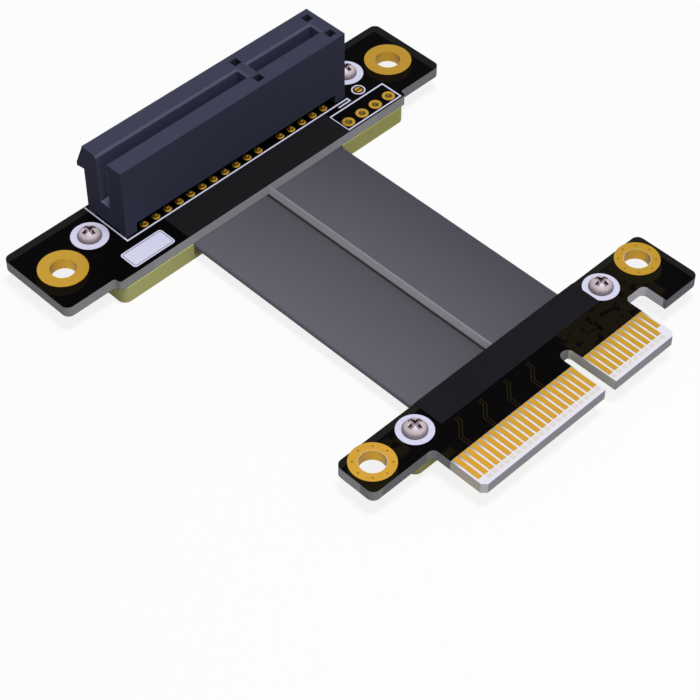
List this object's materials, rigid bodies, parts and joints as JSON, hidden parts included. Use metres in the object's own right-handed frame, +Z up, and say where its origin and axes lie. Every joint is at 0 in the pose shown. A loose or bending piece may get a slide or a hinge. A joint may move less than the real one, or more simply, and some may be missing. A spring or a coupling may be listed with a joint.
{
  "type": "pcie extension cable",
  "caption": "Short slot extension: an upright open-ended card slot on a long board, two flat grey ribbons side by side, and a smaller board with a gold card edge.",
  "frame": {"origin": "under the middle of the whole part, on the plane that the two clamp plates rest on", "axes": "+X along the slot towards its closed end, +Y from the card edge to the slot board, +Z up out of the slot"},
  "size_m": [0.0666, 0.0686, 0.0152],
  "materials": {
    "board_black": "black solder mask on glass-fibre laminate",
    "housing_black": "moulded, fine matt",
    "contact_gold": "gold-plated spring strip",
    "plating_gold": "flat gold plating",
    "cover_strip_black": "thin black insulating strip",
    "screw_steel": "machined, plated",
    "clamp_olive": "moulded, fine matt",
    "ribbon_grey": "smooth flexible jacket",
    "divider_light": "smooth",
    "lead_tinned": "tinned copper"
  },
  "bodies": {
    "root": {"socket_board": "board_black", "socket_housing": "housing_black", "socket_contacts_front_outer": "contact_gold", "socket_contacts_front_inner": "contact_gold", "socket_contacts_back_inner": "contact_gold", "socket_contacts_back_outer": "contact_gold", "socket_mount_rings": "plating_gold", "socket_header_pads": "plating_gold", "plug_mount_rings": "plating_gold", "socket_cover_strip": "cover_strip_black", "plug_cover_strip": "cover_strip_black", "socket_screws": "screw_steel", "plug_screws": "screw_steel", "socket_clamp_plate": "clamp_olive", "plug_clamp_plate": "clamp_olive", "plug_board": "board_black", "plug_fingers_top_long": "plating_gold", "plug_fingers_top_short": "plating_gold", "plug_fingers_bottom_long": "plating_gold", "plug_fingers_bottom_short": "plating_gold", "ribbon_left": "ribbon_grey", "ribbon_right": "ribbon_grey", "ribbon_divider": "divider_light", "ribbon_left_socket_leads": "lead_tinned", "ribbon_right_socket_leads": "lead_tinned", "ribbon_left_plug_leads": "lead_tinned", "ribbon_right_plug_leads": "lead_tinned"}
  },
  "joints": []
}
